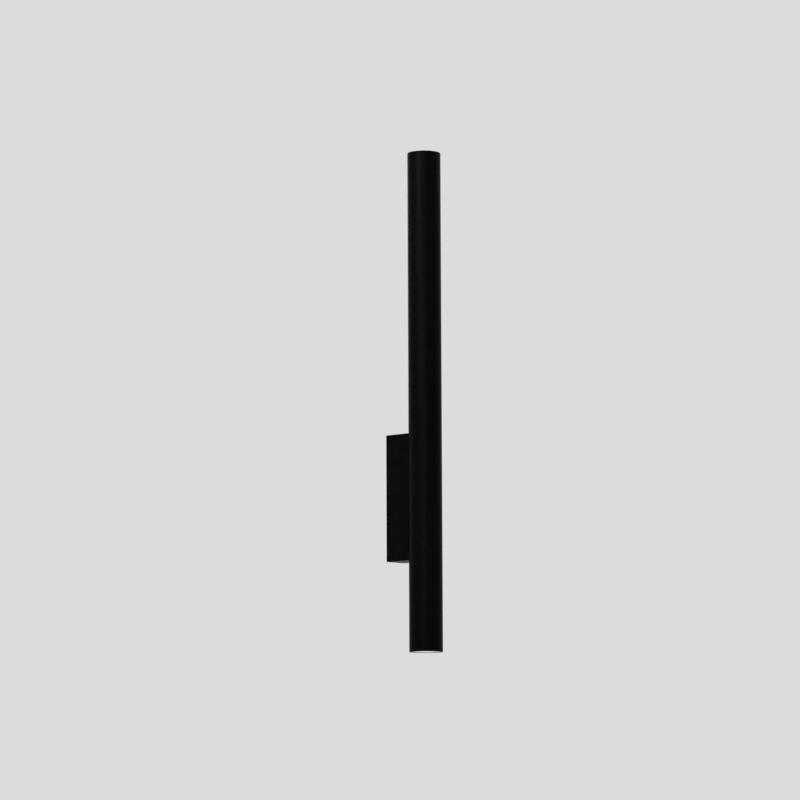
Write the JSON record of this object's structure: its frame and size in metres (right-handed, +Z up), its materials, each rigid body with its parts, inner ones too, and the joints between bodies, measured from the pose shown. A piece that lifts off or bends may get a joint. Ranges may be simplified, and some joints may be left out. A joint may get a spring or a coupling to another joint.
{
  "type": "tube wall light",
  "caption": "Slim black tube wall light that shines up and down from a lamp in each end, carried clear of the wall on a narrow box.",
  "frame": {"origin": "on the wall plane, midway between the two wall screws, at the middle of the wall box's back", "axes": "+Y into the wall, so the light faces -Y; +Z up, along the tube; +X to the right of someone facing the wall"},
  "size_m": [0.04, 0.0699, 0.6],
  "materials": {
    "black_coat": "fine-textured satin powder coat",
    "zinc_steel": "zinc-plated, dull",
    "black_screw": "black-plated screw steel",
    "rubber": "matte",
    "nylon_white": "natural nylon",
    "nylon_black": "black nylon",
    "brass": "drawn, slightly dulled",
    "ceramic": "steatite, unglazed",
    "lamp_cap": "moulded heat-resistant plastic",
    "lamp_shell": "white coated die-cast aluminium",
    "lens": "frosted, gives off light",
    "board_white": "white solder mask on aluminium",
    "led": "phosphor under silicone",
    "driver": "green circuit board with its parts",
    "lead_brown": "silicone-insulated lead",
    "lead_blue": "silicone-insulated lead",
    "lead_earth": "green and yellow insulated lead",
    "tinned": "tinned"
  },
  "bodies": {
    "fixture": {"box_screws": "black_screw", "cable_grommet": "rubber", "cable_ties": "nylon_white", "carrier_nuts": "zinc_steel", "carrier_strip": "zinc_steel", "earth_leads": "lead_earth", "earth_screw": "brass", "earth_terminals": "tinned", "holder_base_bottom": "ceramic", "holder_base_top": "ceramic", "holder_contacts_bottom": "brass", "holder_contacts_top": "brass", "holder_cover_bottom": "ceramic", "holder_cover_top": "ceramic", "holder_screws_bottom": "zinc_steel", "holder_screws_top": "zinc_steel", "lead_bush": "nylon_black", "live_lead_bottom": "lead_brown", "live_lead_top": "lead_brown", "lock_washers": "zinc_steel", "neutral_lead_bottom": "lead_blue", "neutral_lead_top": "lead_blue", "saddle_washers": "zinc_steel", "terminal_block": "nylon_white", "terminal_block_screws": "zinc_steel", "terminal_screws": "zinc_steel", "terminal_tubes": "brass", "tube": "black_coat", "tube_screws": "zinc_steel", "wall_box": "black_coat", "wall_plate": "zinc_steel"},
    "lamp_top": {"lamp_cap_top": "lamp_cap", "lamp_driver_top": "driver", "lamp_housing_top": "lamp_shell", "lamp_led_board_top": "board_white", "lamp_leds_top": "led", "lamp_lens_top": "lens", "lamp_pins_top": "brass"},
    "lamp_bottom": {"lamp_cap_bottom": "lamp_cap", "lamp_driver_bottom": "driver", "lamp_housing_bottom": "lamp_shell", "lamp_led_board_bottom": "board_white", "lamp_leds_bottom": "led", "lamp_lens_bottom": "lens", "lamp_pins_bottom": "brass"}
  },
  "joints": [
    {"name": "lamp_top_twist", "type": "hinge", "parent": "fixture", "child": "lamp_top", "pos_m": [0, -0.05, 0.38], "axis": [0, 0, 1], "range_deg": [0, 30]},
    {"name": "lamp_bottom_twist", "type": "hinge", "parent": "fixture", "child": "lamp_bottom", "pos_m": [0, -0.05, -0.15], "axis": [0, 0, -1], "range_deg": [0, 30]}
  ]
}
